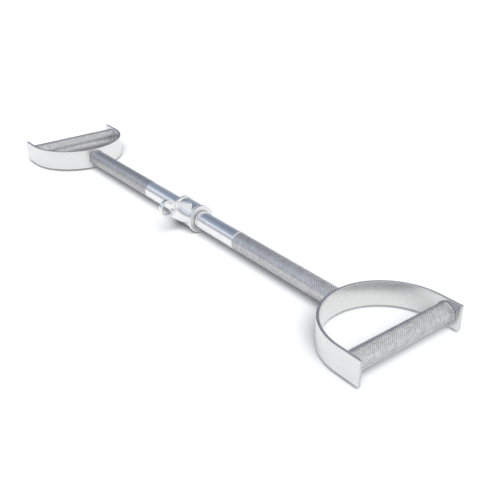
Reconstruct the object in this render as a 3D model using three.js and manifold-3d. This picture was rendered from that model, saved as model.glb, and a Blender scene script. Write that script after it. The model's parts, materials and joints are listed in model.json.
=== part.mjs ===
// Neutral-grip pull-up bar: a straight steel shaft with a D-shaped stirrup welded on each end,
// a round hand grip across each stirrup, and a revolving hanger with an eye at the middle.
// Millimetres. +X runs along the shaft, +Z is up, and the origin is under the middle of the bar
// on the surface that the hub's two collars rest on.
import * as THREE from "three";
import { mergeVertices } from "three/addons/utils/BufferGeometryUtils.js";
import Module from "manifold-3d";

const wasm = await Module();
wasm.setup();

// Driving dimensions
const OVERALL_LENGTH = 889; // across the leg ends of the two stirrups
const OVERALL_WIDTH = 175; // across the two legs of a stirrup
const SHAFT_RADIUS = 14;
const GRIP_RADIUS = 13.5;
const STRIP_HEIGHT = 35; // the flat strip stands on its edge
const STRIP_THICKNESS = 4;
const LEG_LENGTH = 33; // straight part of a stirrup, past its half-circle
const GRIP_INSET = 20; // from the leg ends to the axis of the grip
const HUB_LENGTH = 52; // over both collars
const COLLAR_RADIUS = 22;
const COLLAR_THICKNESS = 5;
const SLEEVE_RADIUS = 20.5;
const EYE_DISTANCE = 50; // from the shaft's axis to the middle of the eye's hole
const EYE_OUTER_RADIUS = 13.5;
const EYE_HOLE_RADIUS = 10;
const EYE_THICKNESS = 8;
const EYE_TILT = THREE.MathUtils.degToRad(26.5); // above level, towards -Y
const NECK_FOOT = 10; // height above the shaft's axis where the neck starts, inside the sleeve
const NECK_TOP = 43; // and where it ends, inside the ring
const NECK_FOOT_HALF_WIDTH = 17.8;
const NECK_TOP_HALF_WIDTH = 11.5;
const WELD_LEG = 3; // reach of a fillet weld along both faces

const FIT_GAP = 0.3; // between solids that touch on the real bar
const RUNNING_GAP = 0.05; // between the shaft and the bushings
const CHAMFER = 0.8;
const BUSHING_WALL = 2;
const BUSHING_LENGTH = 16;
const WASHER_THICKNESS = 0.8;
const SCREW_RADIUS = 1.5;
const SCREW_LENGTH = 6;
const SCREW_LEAN = THREE.MathUtils.degToRad(70); // round the shaft from straight down
const SOCKET_RADIUS = 0.9;
const SOCKET_DEPTH = 2.5;
const HEX_SIDES = 6;
const ROUND_SEGMENTS = 40;
const STIRRUP_SEGMENTS = 32;
const SMALL_SEGMENTS = 16;
const WELD_ARC_STEPS = 2;
const NECK_SECTIONS = 9;
const NECK_SEGMENTS = 32;
const NECK_FLARE_POWER = 2.2;

// Worked-out dimensions
const halfLength = OVERALL_LENGTH / 2;
const bendRadius = OVERALL_WIDTH / 2;
const bendCentre = halfLength - LEG_LENGTH;
const apex = bendCentre - bendRadius;
const axisHeight = COLLAR_RADIUS;
const gripHalfLength = bendRadius - STRIP_THICKNESS - FIT_GAP;
const collarInner = HUB_LENGTH / 2 - COLLAR_THICKNESS;
const washerInner = collarInner - FIT_GAP - WASHER_THICKNESS;
const sleeveHalfLength = washerInner - FIT_GAP;
const bushingOuterRadius = SHAFT_RADIUS + RUNNING_GAP + BUSHING_WALL;
const sleeveBoreRadius = bushingOuterRadius + FIT_GAP;

const finishes = {
  shaft: { color: 0xb9bec6, metalness: 1, roughness: 0.25 },
  strip: { color: 0xc9cbce, metalness: 1, roughness: 0.4 },
  grip: { color: 0xa9aeb6, metalness: 1, roughness: 0.38 },
  hub: { color: 0xd8dadc, metalness: 1, roughness: 0.18 },
  weld: { color: 0xa2a5a9, metalness: 1, roughness: 0.5 },
  bearing: { color: 0xc79a4b, metalness: 0.9, roughness: 0.4 },
  washer: { color: 0xe6e3da, metalness: 0, roughness: 0.5 },
  screw: { color: 0x2b2d30, metalness: 0.8, roughness: 0.5 },
};

const bar = new THREE.Group();

// Geometry helpers -------------------------------------------------------------------------

function solidOf(geometry) {
  const plain = geometry.clone();
  plain.deleteAttribute("normal");
  plain.deleteAttribute("uv");
  const merged = mergeVertices(plain, 1e-4);
  return new wasm.Manifold(
    new wasm.Mesh({
      numProp: 3,
      vertProperties: new Float32Array(merged.attributes.position.array),
      triVerts: new Uint32Array(merged.index.array),
    }),
  );
}

function geometryOf(solid) {
  const mesh = solid.getMesh();
  const geometry = new THREE.BufferGeometry();
  geometry.setAttribute("position", new THREE.BufferAttribute(mesh.vertProperties, 3));
  geometry.setIndex(new THREE.BufferAttribute(mesh.triVerts, 1));
  geometry.computeVertexNormals();
  return geometry;
}

function addMesh(name, geometry, finish, parent = bar) {
  const mesh = new THREE.Mesh(geometry, new THREE.MeshStandardMaterial(finishes[finish]));
  mesh.name = name;
  parent.add(mesh);
  return mesh;
}

// A ring-shaped solid of revolution about X. The profile lists [radius, x] pairs, going
// once round the section so that the faces point outwards.
function turnedAboutX(profile, segments = ROUND_SEGMENTS) {
  const points = [...profile, profile[0]].map(([r, x]) => new THREE.Vector2(r, x));
  return new THREE.LatheGeometry(points, segments).rotateZ(-Math.PI / 2);
}

// A round bar along X with chamfered ends.
function roundBar(radius, halfSpan) {
  const profile = [
    new THREE.Vector2(0, -halfSpan),
    new THREE.Vector2(radius - CHAMFER, -halfSpan),
    new THREE.Vector2(radius, -halfSpan + CHAMFER),
    new THREE.Vector2(radius, halfSpan - CHAMFER),
    new THREE.Vector2(radius - CHAMFER, halfSpan),
    new THREE.Vector2(0, halfSpan),
  ];
  return new THREE.LatheGeometry(profile, ROUND_SEGMENTS).rotateZ(-Math.PI / 2);
}

// A tube along X from x = start to x = end, with its outer edges chamfered.
function tube(innerRadius, outerRadius, start, end, chamfer) {
  return turnedAboutX([
    [innerRadius, start],
    [outerRadius - chamfer, start],
    [outerRadius, start + chamfer],
    [outerRadius, end - chamfer],
    [outerRadius - chamfer, end],
    [innerRadius, end],
  ]);
}

// A plain rod for cutting holes, centred on the origin along X.
function cutter(radius, length, segments = ROUND_SEGMENTS) {
  return new THREE.CylinderGeometry(radius, radius, length, segments).rotateZ(Math.PI / 2);
}

// The section of a concave fillet weld round a bar that leaves a face at x = 0 towards +x.
// It starts at x = start, which is below zero where the face curves away.
function filletSection(barRadius, start) {
  const inner = barRadius + FIT_GAP;
  const section = [[inner, start], [inner + WELD_LEG, start]];
  const reach = (part) => WELD_LEG - (WELD_LEG - FIT_GAP) * part;
  for (let step = 0; step <= WELD_ARC_STEPS; step++) {
    const angle = (step / WELD_ARC_STEPS) * (Math.PI / 2);
    section.push([inner + reach(Math.sin(angle)), FIT_GAP + reach(Math.cos(angle))]);
  }
  section.push([inner, FIT_GAP + WELD_LEG]);
  return section;
}

// Shaft ------------------------------------------------------------------------------------

const shaftGroup = new THREE.Group();
shaftGroup.position.z = axisHeight;
bar.add(shaftGroup);
addMesh("shaft", roundBar(SHAFT_RADIUS, apex - FIT_GAP), "shaft", shaftGroup);

// Stirrups, grips and welds, built for the +X end and turned round for the other -------------

function stirrupOutline() {
  const inner = bendRadius - STRIP_THICKNESS;
  const outline = new THREE.Shape();
  outline.moveTo(halfLength, bendRadius);
  outline.lineTo(bendCentre, bendRadius);
  outline.absarc(bendCentre, 0, bendRadius, Math.PI / 2, (Math.PI * 3) / 2, false);
  outline.lineTo(halfLength, -bendRadius);
  outline.lineTo(halfLength, -inner);
  outline.lineTo(bendCentre, -inner);
  outline.absarc(bendCentre, 0, inner, (Math.PI * 3) / 2, Math.PI / 2, true);
  outline.lineTo(halfLength, inner);
  outline.closePath();
  return outline;
}

function stirrupStrip() {
  const geometry = new THREE.ExtrudeGeometry(stirrupOutline(), {
    depth: STRIP_HEIGHT,
    bevelEnabled: false,
    curveSegments: STIRRUP_SEGMENTS,
  });
  return geometry.translate(0, 0, -STRIP_HEIGHT / 2);
}

// The shaft's weld is cut to the stirrup's outside curve.
function shaftWeld() {
  const widest = SHAFT_RADIUS + 2 * WELD_LEG;
  const sag = bendRadius - Math.sqrt(bendRadius ** 2 - widest ** 2);
  const ring = turnedAboutX(filletSection(SHAFT_RADIUS, -sag), SMALL_SEGMENTS * 2);
  ring.rotateZ(Math.PI).translate(apex, 0, 0);
  const reach = bendRadius + FIT_GAP;
  const bend = new THREE.CylinderGeometry(reach, reach, 2 * STRIP_HEIGHT, 4 * STIRRUP_SEGMENTS);
  bend.rotateX(Math.PI / 2).translate(bendCentre, 0, 0);
  return geometryOf(solidOf(ring).subtract(solidOf(bend)));
}

for (const [side, turn] of [["right", 0], ["left", Math.PI]]) {
  const end = new THREE.Group();
  end.position.z = axisHeight;
  end.rotation.z = turn;
  bar.add(end);

  addMesh(`${side}_stirrup`, stirrupStrip(), "strip", end);
  addMesh(`${side}_shaft_weld`, shaftWeld(), "weld", end);

  const gripGroup = new THREE.Group();
  gripGroup.position.x = halfLength - GRIP_INSET;
  gripGroup.rotation.z = Math.PI / 2;
  end.add(gripGroup);
  addMesh(`${side}_grip`, roundBar(GRIP_RADIUS, gripHalfLength), "grip", gripGroup);
  for (const legSide of [-1, 1]) {
    const place = (legSide < 0) === (side === "right") ? "front" : "back";
    const ring = turnedAboutX(filletSection(GRIP_RADIUS, FIT_GAP), SMALL_SEGMENTS * 2);
    const weld = addMesh(`${side}_grip_weld_${place}`, ring, "weld", gripGroup);
    weld.rotation.z = legSide < 0 ? 0 : Math.PI;
    weld.position.x = legSide * (bendRadius - STRIP_THICKNESS);
  }
}

// Collars, thrust washers, bushings and grub screws ------------------------------------------

const hub = new THREE.Group();
hub.position.z = axisHeight;
bar.add(hub);

// Each collar is fixed to the shaft by a grub screw. Both screws sit on the +Y side, a
// little below level, so a half that is turned round leans its screw the other way.
function turnToScrew(geometry, lean) {
  geometry.rotateX(lean * SCREW_LEAN);
  return geometry.translate(collarInner + COLLAR_THICKNESS / 2, 0, 0);
}

function collar(lean) {
  const hole = new THREE.CylinderGeometry(
    SCREW_RADIUS + FIT_GAP,
    SCREW_RADIUS + FIT_GAP,
    COLLAR_RADIUS,
    SMALL_SEGMENTS,
  );
  hole.rotateX(Math.PI / 2).translate(0, 0, -COLLAR_RADIUS);
  const ring = tube(SHAFT_RADIUS + FIT_GAP, COLLAR_RADIUS, collarInner, HUB_LENGTH / 2, CHAMFER);
  return geometryOf(solidOf(ring).subtract(solidOf(turnToScrew(hole, lean))));
}

function grubScrew(lean) {
  const body = new THREE.CylinderGeometry(SCREW_RADIUS, SCREW_RADIUS, SCREW_LENGTH, SMALL_SEGMENTS);
  const socket = new THREE.CylinderGeometry(
    SOCKET_RADIUS,
    SOCKET_RADIUS,
    2 * SOCKET_DEPTH,
    HEX_SIDES,
  );
  socket.translate(0, SCREW_LENGTH / 2, 0);
  const screw = geometryOf(solidOf(body).subtract(solidOf(socket)));
  const middle = SHAFT_RADIUS + FIT_GAP + SCREW_LENGTH / 2;
  screw.rotateX(-Math.PI / 2).translate(0, 0, -middle);
  return turnToScrew(screw, lean);
}

// A plain bushing lines each end of the sleeve.
function bushing() {
  const end = sleeveHalfLength - FIT_GAP;
  return tube(SHAFT_RADIUS + RUNNING_GAP, bushingOuterRadius, end - BUSHING_LENGTH, end, 0.3);
}

function thrustWasher() {
  const outer = SLEEVE_RADIUS - CHAMFER;
  const end = washerInner + WASHER_THICKNESS;
  return tube(SHAFT_RADIUS + FIT_GAP, outer, washerInner, end, WASHER_THICKNESS / 4);
}

for (const [side, turn] of [["right", 0], ["left", Math.PI]]) {
  const half = new THREE.Group();
  half.rotation.z = turn;
  hub.add(half);
  const lean = turn ? -1 : 1;
  addMesh(`${side}_collar`, collar(lean), "hub", half);
  addMesh(`${side}_grub_screw`, grubScrew(lean), "screw", half);
  addMesh(`${side}_thrust_washer`, thrustWasher(), "washer", half);
  addMesh(`${side}_bushing`, bushing(), "bearing", half);
}

// Revolving hanger ----------------------------------------------------------------------------

const sleeve = tube(sleeveBoreRadius, SLEEVE_RADIUS, -sleeveHalfLength, sleeveHalfLength, CHAMFER);
addMesh("hanger_sleeve", sleeve, "hub", hub);

// The eye is made upright, with +Z running from the shaft's axis to the eye, then tilted.
// Its neck is a loft of ovals: as thin as the ring at the eye, and flared like a bell along
// the sleeve, while its edges stay tangent to the ring and to the sleeve.
function neckSection(share) {
  const height = THREE.MathUtils.lerp(NECK_FOOT, NECK_TOP, share);
  const flare = Math.min(1, (NECK_TOP - height) / (NECK_TOP - SLEEVE_RADIUS + CHAMFER));
  const spread = sleeveHalfLength - EYE_THICKNESS / 2;
  return {
    height,
    halfLength: EYE_THICKNESS / 2 + spread * flare ** NECK_FLARE_POWER,
    halfWidth: THREE.MathUtils.lerp(NECK_FOOT_HALF_WIDTH, NECK_TOP_HALF_WIDTH, share),
  };
}

function neck() {
  const positions = [];
  const index = [];
  for (let level = 0; level <= NECK_SECTIONS; level++) {
    const section = neckSection(level / NECK_SECTIONS);
    for (let step = 0; step < NECK_SEGMENTS; step++) {
      const angle = (step / NECK_SEGMENTS) * 2 * Math.PI;
      positions.push(
        section.halfLength * Math.cos(angle),
        section.halfWidth * Math.sin(angle),
        section.height,
      );
      if (level === NECK_SECTIONS) continue;
      const next = (step + 1) % NECK_SEGMENTS;
      const [a, b] = [step, next].map((s) => level * NECK_SEGMENTS + s);
      index.push(a, b, b + NECK_SEGMENTS, a, b + NECK_SEGMENTS, a + NECK_SEGMENTS);
    }
  }
  const last = NECK_SECTIONS * NECK_SEGMENTS;
  for (let step = 1; step < NECK_SEGMENTS - 1; step++) {
    index.push(0, step + 1, step);
    index.push(last, last + step, last + step + 1);
  }
  const geometry = new THREE.BufferGeometry();
  geometry.setAttribute("position", new THREE.Float32BufferAttribute(positions, 3));
  geometry.setIndex(index);
  return geometry;
}

function hangerEye() {
  const half = EYE_THICKNESS / 2;
  const ring = tube(EYE_HOLE_RADIUS, EYE_OUTER_RADIUS, -half, half, CHAMFER);
  ring.translate(0, 0, EYE_DISTANCE);
  const hole = cutter(EYE_HOLE_RADIUS, HUB_LENGTH).translate(0, 0, EYE_DISTANCE);
  const sleeveRoom = cutter(SLEEVE_RADIUS + FIT_GAP, HUB_LENGTH);
  const eye = solidOf(neck())
    .subtract(solidOf(hole))
    .add(solidOf(ring))
    .subtract(solidOf(sleeveRoom));
  return geometryOf(eye);
}

const eye = addMesh("hanger_eye", hangerEye(), "hub", hub);
eye.rotation.x = Math.PI / 2 - EYE_TILT;

export default bar;
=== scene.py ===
import json
import math

import bmesh
import bpy
import numpy as np
from mathutils import Matrix, Vector


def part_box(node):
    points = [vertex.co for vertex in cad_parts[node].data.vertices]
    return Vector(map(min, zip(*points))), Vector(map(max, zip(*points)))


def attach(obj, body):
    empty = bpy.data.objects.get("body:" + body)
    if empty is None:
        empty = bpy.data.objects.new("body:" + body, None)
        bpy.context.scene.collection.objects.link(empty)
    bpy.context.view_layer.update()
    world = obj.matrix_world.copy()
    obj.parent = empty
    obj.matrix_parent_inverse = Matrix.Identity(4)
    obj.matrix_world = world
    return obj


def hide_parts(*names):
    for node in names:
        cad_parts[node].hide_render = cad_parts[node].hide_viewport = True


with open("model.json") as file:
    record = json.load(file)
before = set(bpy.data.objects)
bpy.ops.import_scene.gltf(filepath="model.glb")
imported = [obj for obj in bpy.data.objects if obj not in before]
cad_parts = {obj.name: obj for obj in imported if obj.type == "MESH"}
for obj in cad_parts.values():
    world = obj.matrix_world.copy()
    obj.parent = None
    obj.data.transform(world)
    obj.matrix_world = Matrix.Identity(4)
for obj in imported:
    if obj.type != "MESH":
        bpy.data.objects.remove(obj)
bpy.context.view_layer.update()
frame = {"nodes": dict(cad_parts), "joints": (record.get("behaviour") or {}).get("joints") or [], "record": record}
MM = 0.001
SIDES = ("right", "left")


# Camera, stage and light -----------------------------------------------------------------

CAMERA_PLACE = (0.8347, -0.5375, 0.4816)
CAMERA_HEADING = math.radians(142.32)  # from +X, anticlockwise
CAMERA_DIP = math.radians(27.66)
CAMERA_ROLL = math.radians(-0.36)
CAMERA_LENS = 50.6


def make_camera():
    data = bpy.data.cameras.new("camera")
    data.lens = CAMERA_LENS
    data.sensor_width = 36
    data.clip_start = 0.01
    camera = bpy.data.objects.new("camera", data)
    forward = Vector((
        math.cos(CAMERA_HEADING) * math.cos(CAMERA_DIP),
        math.sin(CAMERA_HEADING) * math.cos(CAMERA_DIP),
        -math.sin(CAMERA_DIP),
    ))
    right = forward.cross(Vector((0, 0, 1))).normalized()
    up = right.cross(forward)
    upright = Matrix((right, up, -forward)).transposed()
    camera.matrix_world = (
        Matrix.Translation(CAMERA_PLACE)
        @ upright.to_4x4()
        @ Matrix.Rotation(CAMERA_ROLL, 4, "Z")
    )
    bpy.context.scene.collection.objects.link(camera)
    bpy.context.scene.camera = camera


FLOOR_SIZE = 30.0
FLOOR_GREY = (0.42, 0.421, 0.423, 1)  # the lamps light it to white, and shadows on it stay dark
# Height of a direction above the horizon, the sky's brightness there, and how blue it is.
# The front half faces -Y and holds a long soft lamp, and the back half is plain. The glow of a
# big soft lamp is added to both halves towards +X.
FRONT_SKY = (
    (0.0, 0.60, 0.3), (0.28, 0.58, 0.3), (0.41, 0.88, 0.5), (0.50, 0.92, 0.6), (0.59, 0.46, 1.0),
    (1.0, 0.28, 1.0),
)
BACK_SKY = (
    (0.0, 0.58, 0.4), (0.14, 0.50, 0.6), (0.39, 0.40, 0.9), (0.65, 0.27, 1.1), (1.0, 0.25, 1.0),
)
FRONT_GLOW = ((0.0, 0.0, 0.0), (0.50, 0.0, 0.0), (0.68, 0.60, -0.3), (1.0, 0.70, -0.3))
BACK_GLOW = ((0.0, 0.62, -0.3), (0.45, 0.62, -0.3), (0.80, 0.68, -0.3), (1.0, 0.70, -0.3))
BLUE = (-0.15, -0.01, 0.26)  # how much a wholly blue stop adds to red, green and blue
FRONT_TO_BACK = (-0.25, 0.25)  # Y where the front half turns into the back half
GLOW_STARTS = (-0.66, -0.54)  # X where the glow begins


def make_stage():
    mesh = bpy.data.meshes.new("floor")
    half = FLOOR_SIZE / 2
    mesh.from_pydata(
        [(-half, -half, 0), (half, -half, 0), (half, half, 0), (-half, half, 0)], [], [(0, 1, 2, 3)]
    )
    floor = bpy.data.objects.new("floor", mesh)
    bpy.context.scene.collection.objects.link(floor)
    material = bpy.data.materials.new("floor_paper")
    material.use_nodes = True
    shader = material.node_tree.nodes["Principled BSDF"]
    shader.inputs["Base Color"].default_value = FLOOR_GREY
    shader.inputs["Roughness"].default_value = 0.9
    shader.inputs["Specular IOR Level"].default_value = 0.1
    mesh.materials.append(material)


def colour_input(mix, name):
    return next(s for s in mix.inputs if s.name == name and s.type == "RGBA")


def colour_output(mix):
    return next(s for s in mix.outputs if s.type == "RGBA")


def sky_ramp(nodes, links, height, stops):
    ramp = nodes.new("ShaderNodeValToRGB")
    elements = ramp.color_ramp.elements
    while len(elements) < len(stops):
        elements.new(1)
    for element, (position, level, blueness) in zip(elements, stops):
        element.position = position
        element.color = (*(level * (1 + blueness * part) for part in BLUE), 1)
    links.new(height, ramp.inputs[0])
    return ramp.outputs[0]


def sky_share(nodes, links, value, low, high):
    share = nodes.new("ShaderNodeMapRange")
    share.inputs["From Min"].default_value = low
    share.inputs["From Max"].default_value = high
    links.new(value, share.inputs["Value"])
    return share.outputs["Result"]


def sky_mix(nodes, links, share, first, second, blend_type="MIX"):
    mix = nodes.new("ShaderNodeMix")
    mix.data_type = "RGBA"
    mix.blend_type = blend_type
    links.new(share, mix.inputs["Factor"])
    links.new(first, colour_input(mix, "A"))
    links.new(second, colour_input(mix, "B"))
    return colour_output(mix)


def make_sky():
    world = bpy.data.worlds.new("studio")
    bpy.context.scene.world = world
    world.use_nodes = True
    nodes, links = world.node_tree.nodes, world.node_tree.links
    nodes.clear()
    direction = nodes.new("ShaderNodeTexCoord")
    split = nodes.new("ShaderNodeSeparateXYZ")
    background = nodes.new("ShaderNodeBackground")
    output = nodes.new("ShaderNodeOutputWorld")
    links.new(direction.outputs["Generated"], split.inputs[0])
    height = split.outputs["Z"]
    back = sky_share(nodes, links, split.outputs["Y"], *FRONT_TO_BACK)
    right = sky_share(nodes, links, split.outputs["X"], *GLOW_STARTS)
    front_sky = sky_ramp(nodes, links, height, FRONT_SKY)
    back_sky = sky_ramp(nodes, links, height, BACK_SKY)
    front_glow = sky_ramp(nodes, links, height, FRONT_GLOW)
    back_glow = sky_ramp(nodes, links, height, BACK_GLOW)
    sky = sky_mix(nodes, links, back, front_sky, back_sky)
    glow = sky_mix(nodes, links, back, front_glow, back_glow)
    sky = sky_mix(nodes, links, right, sky, glow, "ADD")
    links.new(sky, background.inputs["Color"])
    links.new(background.outputs[0], output.inputs["Surface"])


KEY_SOURCE = Vector((0.60, -0.32, 0.90))  # direction that it shines from
KEY_WIDTH = math.radians(50)
KEY_STRENGTH = 6.9


def make_key_lamp():
    data = bpy.data.lights.new("key", "SUN")
    data.angle = KEY_WIDTH
    data.energy = KEY_STRENGTH
    lamp = bpy.data.objects.new("key", data)
    lamp.visible_glossy = False  # the metal mirrors the sky's soft lamps instead
    lamp.rotation_euler = KEY_SOURCE.to_track_quat("Z", "Y").to_euler()
    bpy.context.scene.collection.objects.link(lamp)


make_camera()
make_stage()
make_sky()
make_key_lamp()
bpy.context.scene.view_settings.view_transform = "Standard"


# Materials ---------------------------------------------------------------------------------

class Surface:
    """A node material in the making: short calls add the nodes that its pattern needs."""

    def __init__(self, name, metallic=1.0):
        self.material = bpy.data.materials.new(name)
        self.material.use_nodes = True
        self.nodes = self.material.node_tree.nodes
        self.links = self.material.node_tree.links
        self.shader = self.nodes["Principled BSDF"]
        self.shader.inputs["Metallic"].default_value = metallic
        self.place = self.nodes.new("ShaderNodeTexCoord").outputs["Object"]

    def noise(self, scale, detail=3.0, stretch=(1, 1, 1), roughness=0.55):
        mapping = self.nodes.new("ShaderNodeMapping")
        mapping.inputs["Scale"].default_value = stretch
        texture = self.nodes.new("ShaderNodeTexNoise")
        texture.inputs["Scale"].default_value = scale
        texture.inputs["Detail"].default_value = detail
        texture.inputs["Roughness"].default_value = roughness
        self.links.new(self.place, mapping.inputs["Vector"])
        self.links.new(mapping.outputs[0], texture.inputs["Vector"])
        return texture.outputs["Fac"]

    def spots(self, scale):
        texture = self.nodes.new("ShaderNodeTexVoronoi")
        texture.inputs["Scale"].default_value = scale
        self.links.new(self.place, texture.inputs["Vector"])
        return texture.outputs["Distance"]

    def attribute(self, name):
        node = self.nodes.new("ShaderNodeAttribute")
        node.attribute_name = name
        return node.outputs["Fac"]

    def facing(self, axis):
        """How squarely the surface faces along an axis of the part, either way."""
        normal = self.nodes.new("ShaderNodeTexCoord").outputs["Normal"]
        split = self.nodes.new("ShaderNodeSeparateXYZ")
        self.links.new(normal, split.inputs[0])
        return self.combine("ABSOLUTE", split.outputs[axis], 0.0)

    def remap(self, value, low_in, high_in, low_out, high_out):
        node = self.nodes.new("ShaderNodeMapRange")
        ends = (low_in, high_in, low_out, high_out)
        for socket, end in zip(("From Min", "From Max", "To Min", "To Max"), ends):
            node.inputs[socket].default_value = end
        self.links.new(value, node.inputs["Value"])
        return node.outputs["Result"]

    def combine(self, operation, first, second):
        node = self.nodes.new("ShaderNodeMath")
        node.operation = operation
        for socket, value in zip(node.inputs, (first, second)):
            if isinstance(value, (int, float)):
                socket.default_value = value
            else:
                self.links.new(value, socket)
        return node.outputs[0]

    def blend(self, share, low_colour, high_colour):
        ramp = self.nodes.new("ShaderNodeValToRGB")
        ramp.color_ramp.elements[0].color = (*low_colour, 1)
        ramp.color_ramp.elements[1].color = (*high_colour, 1)
        self.links.new(share, ramp.inputs[0])
        return ramp.outputs[0]

    def mix(self, share, low, high):
        node = self.nodes.new("ShaderNodeMix")
        node.data_type = "RGBA"
        self.links.new(share, node.inputs["Factor"])
        self.links.new(low, colour_input(node, "A"))
        self.links.new(high, colour_input(node, "B"))
        return colour_output(node)

    def colour(self, output):
        self.links.new(output, self.shader.inputs["Base Color"])

    def roughness(self, output):
        self.links.new(output, self.shader.inputs["Roughness"])

    def bump(self, height, strength, distance):
        node = self.nodes.new("ShaderNodeBump")
        node.inputs["Strength"].default_value = strength
        node.inputs["Distance"].default_value = distance
        self.links.new(height, node.inputs["Height"])
        self.links.new(node.outputs[0], self.shader.inputs["Normal"])


def polished_chrome():
    surface = Surface("polished_chrome")
    smears = surface.noise(35, detail=4)
    hairlines = surface.noise(900, detail=2, stretch=(0.04, 1, 1))
    surface.colour(surface.blend(smears, (0.74, 0.735, 0.725), (0.90, 0.895, 0.885)))
    gloss = surface.remap(smears, 0.3, 0.7, 0.09, 0.18)
    fine = surface.remap(hairlines, 0.35, 0.65, 0.0, 0.05)
    turned = surface.remap(surface.facing("X"), 0.93, 0.99, 0.0, 0.26)
    surface.roughness(surface.combine("ADD", surface.combine("ADD", gloss, fine), turned))
    surface.bump(hairlines, 0.05, 0.0001)
    return surface.material


def shaft_chrome():
    """Plating over the knurl, with painted shade: dark in the grooves, rubbed bright on the crests, and darker in
    a ring where another piece meets the bar.
    """
    surface = Surface("shaft_chrome")
    crest = surface.attribute("crest")
    patches = surface.noise(60, detail=5)
    grain = surface.noise(1500, detail=2, stretch=(0.08, 1, 1))
    shade_and_wear = surface.combine("ADD", crest, surface.remap(patches, 0.3, 0.7, -0.07, 0.07))
    # Painted shade: the grooves (crest 0) get the dark colour and the crests (crest 1) the bright one, with uneven
    # wear and patches on top.
    surface.colour(surface.blend(shade_and_wear, (0.38, 0.375, 0.38), (0.97, 0.962, 0.96)))
    gloss = surface.remap(surface.attribute("land"), 0.0, 1.0, 0.36, 0.10)
    surface.roughness(surface.combine("ADD", gloss, surface.remap(grain, 0.3, 0.7, -0.02, 0.04)))
    surface.bump(grain, 0.06, 0.0001)
    return surface.material


def satin_strip():
    """Plated flat strip with faint mill mottling and long brushing marks."""
    surface = Surface("satin_strip")
    mottle = surface.noise(11, detail=3, roughness=0.5)
    brushing = surface.noise(420, detail=3, stretch=(1, 1, 7))
    pits = surface.spots(700)
    plate = surface.blend(mottle, (0.66, 0.655, 0.645), (0.83, 0.825, 0.815))
    cut_edge = surface.blend(mottle, (0.26, 0.265, 0.28), (0.42, 0.425, 0.44))
    surface.colour(surface.mix(surface.attribute("cut_edge"), plate, cut_edge))
    gloss = surface.remap(mottle, 0.3, 0.7, 0.22, 0.31)
    surface.roughness(surface.combine("ADD", gloss, surface.remap(brushing, 0.3, 0.7, -0.02, 0.03)))
    height = surface.combine("ADD", brushing, surface.remap(pits, 0.0, 0.35, -0.6, 0.0))
    surface.bump(height, 0.015, 0.0001)
    return surface.material


def weld_metal():
    """Plated over, so it is nearly as pale as the pieces that it joins."""
    surface = Surface("weld_metal")
    cloud = surface.noise(160, detail=5)
    grain = surface.noise(1400, detail=3)
    surface.colour(surface.blend(cloud, (0.60, 0.60, 0.605), (0.80, 0.80, 0.80)))
    surface.roughness(surface.remap(cloud, 0.3, 0.7, 0.34, 0.46))
    surface.bump(grain, 0.2, 0.0002)
    return surface.material


def black_oxide():
    surface = Surface("black_oxide", metallic=0.85)
    rub = surface.noise(900, detail=4)
    surface.colour(surface.blend(rub, (0.02, 0.021, 0.024), (0.11, 0.11, 0.12)))
    surface.roughness(surface.remap(rub, 0.3, 0.7, 0.35, 0.55))
    surface.bump(rub, 0.1, 0.0001)
    return surface.material


def nylon():
    surface = Surface("nylon", metallic=0.0)
    cloud = surface.noise(220, detail=3)
    surface.colour(surface.blend(cloud, (0.70, 0.69, 0.63), (0.86, 0.85, 0.80)))
    surface.roughness(surface.remap(cloud, 0.3, 0.7, 0.4, 0.55))
    surface.bump(cloud, 0.08, 0.0001)
    return surface.material


def sintered_bronze():
    surface = Surface("sintered_bronze")
    pores = surface.spots(1800)
    tarnish = surface.noise(180, detail=4)
    surface.colour(surface.blend(tarnish, (0.36, 0.22, 0.10), (0.68, 0.46, 0.24)))
    surface.roughness(surface.remap(tarnish, 0.3, 0.7, 0.3, 0.48))
    surface.bump(pores, 0.15, 0.0001)
    return surface.material


MATERIALS = {
    "polished_chrome": polished_chrome(),
    "knurled_chrome": shaft_chrome(),
    "satin_steel": satin_strip(),
    "weld_metal": weld_metal(),
    "black_screw_steel": black_oxide(),
    "nylon": nylon(),
    "bronze": sintered_bronze(),
}


# Mesh helpers --------------------------------------------------------------------------------

def add_piece(mesh, body, slot, *nodes):
    """Adds a finished mesh as a piece that stands for CAD nodes, and takes its name from the first."""
    piece = bpy.data.objects.new(f"{nodes[0]}_looks", mesh)
    bpy.context.scene.collection.objects.link(piece)
    mesh.materials.append(MATERIALS[slot])
    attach(piece, body)
    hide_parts(*nodes)
    return piece


def span(node, axis):
    low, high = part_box(node)
    return low[axis], high[axis]


RING_COLUMNS = 128
RING_EDGE_STEPS = 5


def arc(centre, radius, start, end, steps):
    """Points of an arc in a plane, with angles in degrees."""
    angles = np.radians(np.linspace(start, end, steps + 1))
    return [(centre[0] + radius * math.cos(a), centre[1] + radius * math.sin(a)) for a in angles]


def revolve(name, section, columns):
    """A closed section of (along, radius) points turned about X into a smooth ring."""
    turns = np.arange(columns) * 2 * math.pi / columns
    verts = [
        (along, radius * math.cos(t), radius * math.sin(t)) for along, radius in section for t in turns
    ]
    faces = []
    rows = len(section)
    for row in range(rows):
        for column in range(columns):
            after = (column + 1) % columns
            under = ((row + 1) % rows) * columns
            faces.append((row * columns + column, row * columns + after, under + after, under + column))
    mesh = bpy.data.meshes.new(name)
    mesh.from_pydata(verts, [], faces)
    outward(mesh)
    mesh.shade_smooth()
    return mesh


def cylinder_mesh(name, radius, length, columns):
    """A plain cylinder along Z, to join or cut with."""
    work = bmesh.new()
    bmesh.ops.create_cone(
        work, segments=columns, radius1=radius, radius2=radius, depth=length, cap_ends=True
    )
    mesh = bpy.data.meshes.new(name)
    work.to_mesh(mesh)
    work.free()
    return mesh


def bake_modifiers(piece):
    """Keeps the piece's mesh as its modifiers leave it, and removes them."""
    graph = bpy.context.evaluated_depsgraph_get()
    made = bpy.data.meshes.new_from_object(piece.evaluated_get(graph))
    piece.modifiers.clear()
    piece.data = made


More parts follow.
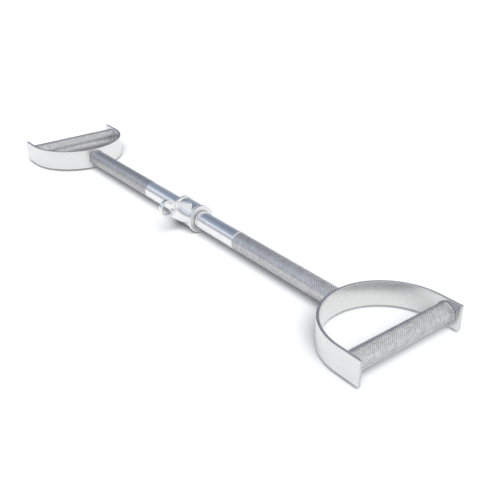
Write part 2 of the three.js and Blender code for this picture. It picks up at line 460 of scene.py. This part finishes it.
def boolean(target, tool_mesh, operation):
    """Joins or cuts a piece with a closed mesh, and keeps the result."""
    tool = bpy.data.objects.new("tool", tool_mesh)
    bpy.context.scene.collection.objects.link(tool)
    step = target.modifiers.new("step", "BOOLEAN")
    step.operation = operation
    step.solver = "EXACT"
    step.object = tool
    bake_modifiers(target)
    bpy.data.objects.remove(tool)


def outward(mesh):
    """Turns every face of a closed mesh to point out."""
    work = bmesh.new()
    work.from_mesh(mesh)
    bmesh.ops.recalc_face_normals(work, faces=work.faces)
    work.to_mesh(mesh)
    work.free()


def rounded_ring(name, inner, outer, start, end, edge):
    """A ring about X with a rectangular section whose four edges are rounded."""
    section = []
    corners = (
        ((end - edge, outer - edge), 0), ((start + edge, outer - edge), 90),
        ((start + edge, inner + edge), 180), ((end - edge, inner + edge), 270),
    )
    for centre, angle in corners:
        section += arc(centre, edge, angle, angle + 90, RING_EDGE_STEPS)
    return revolve(name, section, RING_COLUMNS)


# Shaft and grips: diamond knurling cut in rolled bar -------------------------------------------

KNURL_ROUND = 4.0 * MM  # size of one diamond round the bar
KNURL_ALONG = 3.3 * MM  # and along it
KNURL_DEPTH = 0.7 * MM
KNURL_UNEVEN = 0.09 * MM
KNURL_WEAR = 0.35  # how unevenly the plating shines from one diamond to the next
END_ROUND = 0.8 * MM
LAND_STEP = 1 * MM
LAND_SHINE = 0.8  # how bright the smooth stretches are, between a groove's 0 and a crest's 1
END_SHINE = 0.5
# Painted shade: the colour level of the ring where another piece meets the bar, between a groove's 0 and a crest's
# 1, and how far that ring reaches.
JOINT_SHADE_LEVEL = 0.25
JOINT_SHADE_REACH = 1.2 * MM
SEED = 7


def knurl_stations(half_length, lands):
    """Where the rings of points lie along the bar, and what each ring is part of."""
    stations = [(-half_length, "cap"), (-half_length + END_ROUND, "land")]
    for (_, land_end), (next_start, next_end) in zip(lands[:-1], lands[1:]):
        stations.append((land_end, "land"))
        length = next_start - land_end
        rows = 2 * round(length / KNURL_ALONG)
        stations += [(land_end + length * (row + 1) / (rows + 2), "knurl") for row in range(rows + 1)]
        stations.append((next_start, "land"))
        inside = max(0, round((next_end - next_start) / LAND_STEP) - 1)
        gap = (next_end - next_start) / (inside + 1)
        stations += [(next_start + gap * (step + 1), "land") for step in range(inside)]
    stations += [(half_length - END_ROUND, "land"), (half_length, "cap")]
    return stations


def knurl_faces(stations, columns):
    """The faces between the rings, and whether each is shaded smooth. Knurled stretches are
    triangles whose diagonals run along the grooves."""
    faces, smooth = [], []
    for row in range(len(stations) - 1):
        plain = stations[row][1] != "knurl" and stations[row + 1][1] != "knurl"
        for column in range(columns):
            after = (column + 1) % columns
            a, b = row * columns + column, row * columns + after
            c, d = b + columns, a + columns
            if plain:
                faces.append((a, b, c, d))
                smooth.append(True)
                continue
            if (row + column) % 2 == 0:
                faces += [(a, b, d), (b, c, d)]
            else:
                faces += [(a, b, c), (a, c, d)]
            smooth += [True, True]
    last = (len(stations) - 1) * columns
    faces += [tuple(range(columns)), tuple(range(last, last + columns))]
    smooth += [False, False]
    return faces, smooth


def knurled_bar(name, radius, half_length, lands, joint=None):
    """A bar along X. lands are the (start, end) stretches left smooth; the rest is knurled.
    Painted shade darkens the bar in a ring at the places joint on either side, where another piece meets the bar."""
    chance = np.random.default_rng(SEED)
    columns = 2 * round(2 * math.pi * radius / KNURL_ROUND)
    stations = knurl_stations(half_length, lands)
    end_lands = half_length - (lands[0][1] - lands[0][0]) - END_ROUND
    verts, crest, land = [], [], []
    turns = np.arange(columns) * 2 * math.pi / columns
    for row, (along, kind) in enumerate(stations):
        for column, turn in enumerate(turns):
            if kind == "knurl":
                is_crest = (row + column) % 2 == 0
                depth = 0 if is_crest else KNURL_DEPTH
                depth += KNURL_UNEVEN * chance.random()
                # Painted shade: grooves get 0 and crests 1, so the grooves are coloured dark; the random part is
                # uneven wear from one diamond to the next.
                crest.append((1.0 if is_crest else 0.0) + KNURL_WEAR * (0.5 - chance.random()))
            else:
                depth = END_ROUND if kind == "cap" else 0.0
                # Painted shade in a ring where another piece meets the bar.
                joint_shaded = joint is not None and abs(abs(along) - joint) < JOINT_SHADE_REACH
                shine = END_SHINE if abs(along) > end_lands else LAND_SHINE
                crest.append(JOINT_SHADE_LEVEL if joint_shaded else shine)
            land.append(0.0 if kind == "knurl" or abs(along) > end_lands else 1.0)
            verts.append((along, (radius - depth) * math.cos(turn), (radius - depth) * math.sin(turn)))
    faces, smooth = knurl_faces(stations, columns)
    mesh = bpy.data.meshes.new(name)
    mesh.from_pydata(verts, [], faces)
    mesh.polygons.foreach_set("use_smooth", smooth)
    mesh.attributes.new("crest", "FLOAT", "POINT").data.foreach_set("value", crest)
    mesh.attributes.new("land", "FLOAT", "POINT").data.foreach_set("value", land)
    outward(mesh)
    return mesh


SMOOTH_MIDDLE = 120 * MM  # half of the polished stretch round the hub
END_LAND = 2 * MM  # smooth stretch at each end of the shaft and grips


def make_shaft():
    low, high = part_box("shaft")
    radius = (high.z - low.z) / 2
    half = high.x
    hub_end = span("right_collar", 0)[1]
    lands = (
        (-half, -half + END_LAND),
        (-SMOOTH_MIDDLE, SMOOTH_MIDDLE),
        (half - END_LAND, half),
    )
    mesh = knurled_bar("shaft", radius, half, lands, hub_end)
    mesh.transform(Matrix.Translation((0, 0, (low.z + high.z) / 2)))
    add_piece(mesh, "bar", "knurled_chrome", "shaft")


def make_grip(side):
    low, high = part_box(f"{side}_grip")
    radius = (high.z - low.z) / 2
    half = (high.y - low.y) / 2
    lands = ((-half, -half + END_LAND), (half - END_LAND, half))
    mesh = knurled_bar(f"{side}_grip", radius, half, lands)
    place = Matrix.Translation((low + high) / 2)
    mesh.transform(place @ Matrix.Rotation(math.pi / 2, 4, "Z"))
    add_piece(mesh, "bar", "knurled_chrome", f"{side}_grip")


# Stirrups: flat strip with rounded edges, bent round on edge ------------------------------------

STRIP_EDGE = 0.7 * MM
STRIP_EDGE_STEPS = 4
STRIP_END_BEVEL = 0.35 * MM
STRIP_END_ANGLE = math.radians(50)  # only corners sharper than this are bevelled
FIT_GAP = 0.3 * MM
BEND_STEPS = 96
LEG_STEPS = 8


def strip_thickness(side):
    return span(f"{side}_stirrup", 1)[1] - span(f"{side}_grip", 1)[1] - FIT_GAP


def stirrup_path(side):
    """Stations along the middle line of the strip, each a point and the outward normal."""
    low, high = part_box(f"{side}_stirrup")
    outer = (high.y - low.y) / 2
    tip, apex = (high.x, low.x) if side == "right" else (low.x, high.x)
    way = 1 if side == "right" else -1
    centre = apex + way * outer
    middle = outer - strip_thickness(side) / 2
    legs = np.linspace(0, 1, LEG_STEPS + 1)[:-1]
    path = [(tip + (centre - tip) * leg, middle, 0.0, 1.0) for leg in legs]
    for turn in np.linspace(0, math.pi, BEND_STEPS + 1):
        normal = (-way * math.sin(turn), math.cos(turn))
        path.append((centre + middle * normal[0], middle * normal[1], *normal))
    path += [(x, -y, nx, -ny) for x, y, nx, ny in reversed(path[:LEG_STEPS])]
    return path


def make_stirrup(side):
    low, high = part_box(f"{side}_stirrup")
    half_thickness = strip_thickness(side) / 2
    half_height = (high.z - low.z) / 2
    section = []
    for (across, up), angle in zip(((1, 1), (-1, 1), (-1, -1), (1, -1)), (0, 90, 180, 270)):
        corner = (across * (half_thickness - STRIP_EDGE), up * (half_height - STRIP_EDGE))
        section += arc(corner, STRIP_EDGE, angle, angle + 90, STRIP_EDGE_STEPS)
    path = stirrup_path(side)
    verts, cut_edge = [], []
    for x, y, nx, ny in path:
        verts += [(x + nx * across, y + ny * across, up) for across, up in section]
        cut_edge += [float(abs(up) > half_height - STRIP_EDGE / 5) for _, up in section]
    count = len(section)
    faces = []
    for station in range(len(path) - 1):
        for point in range(count):
            after = (point + 1) % count
            a, b = station * count + point, station * count + after
            faces.append((a, b, b + count, a + count))
    last = (len(path) - 1) * count
    faces += [tuple(range(count)), tuple(range(last, last + count))]
    mesh = bpy.data.meshes.new(f"{side}_stirrup")
    mesh.from_pydata(verts, [], faces)
    mesh.polygons.foreach_set("use_smooth", [True] * (len(faces) - 2) + [False] * 2)
    mesh.attributes.new("cut_edge", "FLOAT", "POINT").data.foreach_set("value", cut_edge)
    outward(mesh)
    mesh.transform(Matrix.Translation((0, 0, (low.z + high.z) / 2)))
    piece = add_piece(mesh, "bar", "satin_steel", f"{side}_stirrup")
    bevel = piece.modifiers.new("cut_ends", "BEVEL")
    bevel.limit_method = "ANGLE"
    bevel.angle_limit = STRIP_END_ANGLE
    bevel.width = STRIP_END_BEVEL
    bevel.segments = 2


# Welds: rippled fillets -------------------------------------------------------------------------

WELD_RIPPLES = 40
WELD_RIPPLE_DEPTH = 0.08 * MM
WELD_COLUMNS = 240
WELD_STEPS = 6
WELD_BITE = 0.5 * MM  # how far the metal runs into the pieces that it joins
WELD_REACH = 1.1 * MM
WELD_HOLLOW = 0.75  # how far its face is hollowed, as a share of its leg
WELD_WAVES = 3
WELD_WANDER = 0.05  # how much each wave changes the leg, as a share of it


def weld_mesh(name, bar_radius, reach, face_sag):
    """A concave fillet round a bar along +X from a face at x = 0. face_sag(y) lowers the face."""
    chance = np.random.default_rng(SEED)
    waves = chance.uniform(0, 2 * math.pi, WELD_WAVES)
    verts, faces = [], []
    count = WELD_STEPS + 3
    for column in range(WELD_COLUMNS):
        turn = column * 2 * math.pi / WELD_COLUMNS
        ripple = WELD_RIPPLE_DEPTH * (0.5 + 0.5 * math.cos(turn * WELD_RIPPLES))
        wave = sum(math.sin((number + 2) * turn + start) for number, start in enumerate(waves))
        leg = reach * (1 + WELD_WANDER * wave) - ripple
        hollow = leg * WELD_HOLLOW
        section = [(-WELD_BITE, -WELD_BITE), (-WELD_BITE, leg)]
        for step in range(WELD_STEPS):
            angle = (step + 1) / (WELD_STEPS + 1) * math.pi / 2
            section.append((leg - hollow * math.sin(angle), leg - hollow * math.cos(angle)))
        section.append((leg, -WELD_BITE))
        for along, out in section:
            radius = bar_radius + out
            y, z = radius * math.cos(turn), radius * math.sin(turn)
            verts.append((along - face_sag(y), y, z))
    for column in range(WELD_COLUMNS):
        after = (column + 1) % WELD_COLUMNS
        for point in range(count):
            under = (point + 1) % count
            faces.append((
                column * count + point, column * count + under,
                after * count + under, after * count + point,
            ))
    mesh = bpy.data.meshes.new(name)
    mesh.from_pydata(verts, [], faces)
    outward(mesh)
    mesh.shade_smooth()
    return mesh


def make_welds(side):
    way = 1 if side == "right" else -1
    strip_low, strip_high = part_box(f"{side}_stirrup")
    outer = (strip_high.y - strip_low.y) / 2
    apex = strip_low.x if side == "right" else strip_high.x
    axis = (strip_low.z + strip_high.z) / 2
    shaft_radius = (span("shaft", 2)[1] - span("shaft", 2)[0]) / 2
    mesh = weld_mesh(
        f"{side}_shaft_weld", shaft_radius, WELD_REACH,
        lambda y: outer - math.sqrt(outer ** 2 - y ** 2),
    )
    turn = math.pi if side == "right" else 0
    mesh.transform(Matrix.Translation((apex, 0, axis)) @ Matrix.Rotation(turn, 4, "Z"))
    add_piece(mesh, "bar", "weld_metal", f"{side}_shaft_weld")

    grip_low, grip_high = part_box(f"{side}_grip")
    grip_radius = (grip_high.z - grip_low.z) / 2
    for place, leg in (("front", -1), ("back", 1)):
        mesh = weld_mesh(f"{side}_grip_weld_{place}", grip_radius, WELD_REACH, lambda y: 0.0)
        face = leg * (outer - strip_thickness(side))
        spot = ((grip_low.x + grip_high.x) / 2, face, axis)
        mesh.transform(Matrix.Translation(spot) @ Matrix.Rotation(-leg * math.pi / 2, 4, "Z"))
        add_piece(mesh, "bar", "weld_metal", f"{side}_grip_weld_{place}")


# Hub --------------------------------------------------------------------------------------------

COLLAR_EDGE = 1.1 * MM
SCREW_HOLE = 1.8 * MM
SCREW_HOLE_COLUMNS = 32
DRILL_LENGTH = 12 * MM
DRILL_SHIFT_MM = 3  # outwards from the screw's middle, so that the drill leaves the collar
COLLAR_SHARP = math.radians(40)


def make_collar(side):
    low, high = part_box(f"{side}_collar")
    shaft_low, shaft_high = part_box("shaft")
    bore = (shaft_high.z - shaft_low.z) / 2
    mesh = rounded_ring(
        f"{side}_collar", bore, (high.z - low.z) / 2, low.x, high.x, COLLAR_EDGE
    )
    mesh.transform(Matrix.Translation((0, 0, (low.z + high.z) / 2)))
    piece = add_piece(mesh, "bar", "polished_chrome", f"{side}_collar")
    cut_screw_hole(piece, side)


def cut_screw_hole(piece, side):
    """Drills the grub screw's hole, on the line from the shaft's axis through the screw."""
    low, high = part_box(f"{side}_grub_screw")
    spot = (low + high) / 2
    joint = Vector(frame["joints"][0]["pos_m"])
    axis = Vector((spot.x, joint.y, joint.z))
    out = (spot - axis).normalized()
    drill = cylinder_mesh("drill", SCREW_HOLE, DRILL_LENGTH, SCREW_HOLE_COLUMNS)
    upright = out.to_track_quat("Z", "X").to_matrix().to_4x4()
    drill.transform(Matrix.Translation(spot + out * DRILL_SHIFT_MM * MM) @ upright)
    boolean(piece, drill, "DIFFERENCE")
    piece.data.set_sharp_from_angle(angle=COLLAR_SHARP)


NECK_FOOT = 8 * MM
NECK_TOP = 43 * MM
NECK_FOOT_HALF_WIDTH = 17.9 * MM
NECK_TOP_HALF_WIDTH = 11.5 * MM
NECK_FLARE_POWER = 2.2
NECK_FLARE_SINK = 0.8 * MM  # how far inside the sleeve the flare is at its widest
NECK_LEVELS = 40
NECK_COLUMNS = 72
EYE_HOLE = 10 * MM
EYE_OUTER = 13.5 * MM
EYE_HALF_THICKNESS = 4 * MM
EYE_EDGE = 1.2 * MM
HANGER_VOXEL = 0.42 * MM
HANGER_SMOOTHING = 8


def neck_mesh(sleeve_radius, sleeve_half):
    """The flared neck, upright on the shaft's axis: ovals lofted from the sleeve to the ring."""
    verts, faces = [], []
    for level in range(NECK_LEVELS + 1):
        share = level / NECK_LEVELS
        height = NECK_FOOT + (NECK_TOP - NECK_FOOT) * share
        flare = min(1.0, (NECK_TOP - height) / (NECK_TOP - sleeve_radius + NECK_FLARE_SINK))
        spread = sleeve_half - EYE_HALF_THICKNESS
        half_length = EYE_HALF_THICKNESS + spread * flare ** NECK_FLARE_POWER
        half_width = NECK_FOOT_HALF_WIDTH + (NECK_TOP_HALF_WIDTH - NECK_FOOT_HALF_WIDTH) * share
        for column in range(NECK_COLUMNS):
            turn = column * 2 * math.pi / NECK_COLUMNS
            verts.append((half_length * math.cos(turn), half_width * math.sin(turn), height))
    for level in range(NECK_LEVELS):
        for column in range(NECK_COLUMNS):
            after = (column + 1) % NECK_COLUMNS
            a, b = level * NECK_COLUMNS + column, level * NECK_COLUMNS + after
            faces.append((a, b, b + NECK_COLUMNS, a + NECK_COLUMNS))
    top = NECK_LEVELS * NECK_COLUMNS
    faces += [tuple(range(NECK_COLUMNS))[::-1], tuple(range(top, top + NECK_COLUMNS))]
    mesh = bpy.data.meshes.new("neck")
    mesh.from_pydata(verts, [], faces)
    outward(mesh)
    return mesh


def rod_mesh(radius, half_length):
    """A plain cylinder along X, to join or cut with."""
    mesh = cylinder_mesh("rod", radius, 2 * half_length, RING_COLUMNS)
    mesh.transform(Matrix.Rotation(math.pi / 2, 4, "Y"))
    return mesh


def make_hanger():
    """Sleeve, neck and eye as one forging, remeshed and smoothed so that they run together."""
    sleeve_low, sleeve_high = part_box("hanger_sleeve")
    radius = (sleeve_high.z - sleeve_low.z) / 2
    half = sleeve_high.x
    axis = Vector(frame["joints"][0]["pos_m"])
    hole = next(o for o in frame["record"]["physics"]["openings"] if o["name"] == "eye_hole")
    low, high = (Vector(corner) for corner in hole["box_m"])
    reach = (low + high) / 2 - axis
    distance = reach.length
    upright = Matrix.Translation((0, 0, distance))

    mesh = neck_mesh(radius, half)
    hanger = bpy.data.objects.new("hanger_sleeve_looks", mesh)
    bpy.context.scene.collection.objects.link(hanger)
    bore = (span("right_bushing", 2)[1] - span("right_bushing", 2)[0]) / 2 + FIT_GAP
    ring = rounded_ring(
        "ring", EYE_HOLE, EYE_OUTER, -EYE_HALF_THICKNESS, EYE_HALF_THICKNESS, EYE_EDGE
    )
    ring.transform(upright)
    eye_drill = rod_mesh(EYE_HOLE, half)
    eye_drill.transform(upright)
    boolean(hanger, eye_drill, "DIFFERENCE")
    boolean(hanger, ring, "UNION")
    boolean(hanger, rod_mesh(radius - COLLAR_EDGE, half - COLLAR_EDGE), "UNION")
    boolean(hanger, rounded_ring("sleeve", bore, radius, -half, half, COLLAR_EDGE), "UNION")
    boolean(hanger, rod_mesh(bore, 2 * half), "DIFFERENCE")
    remesh = hanger.modifiers.new("remesh", "REMESH")
    remesh.mode = "VOXEL"
    remesh.voxel_size = HANGER_VOXEL
    soften = hanger.modifiers.new("soften", "SMOOTH")
    soften.factor = 0.5
    soften.iterations = HANGER_SMOOTHING
    bake_modifiers(hanger)
    mesh = hanger.data
    mesh.shade_smooth()
    mesh.materials.clear()
    mesh.materials.append(MATERIALS["polished_chrome"])
    tilt = math.atan2(reach.z, -reach.y)
    mesh.transform(Matrix.Translation(axis) @ Matrix.Rotation(math.pi / 2 - tilt, 4, "X"))
    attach(hanger, "hanger")
    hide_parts("hanger_sleeve", "hanger_eye")


make_shaft()
for side in SIDES:
    make_grip(side)
    make_stirrup(side)
    make_welds(side)
    make_collar(side)
make_hanger()


# The CAD nodes that stay get their materials ------------------------------------------------------

SLOT_OF = {part["node"]: part["material_slot"] for part in frame["record"]["subparts"]}
KEPT_PARTS = ("grub_screw", "thrust_washer", "bushing")
KEPT_NODES = [f"{side}_{part}" for side in SIDES for part in KEPT_PARTS]
KEPT_SHARP = math.radians(35)
for node in KEPT_NODES:
    shape = frame["nodes"][node]
    shape.data.materials.clear()
    shape.data.materials.append(MATERIALS[SLOT_OF[node]])
    shape.data.shade_smooth()
    shape.data.set_sharp_from_angle(angle=KEPT_SHARP)
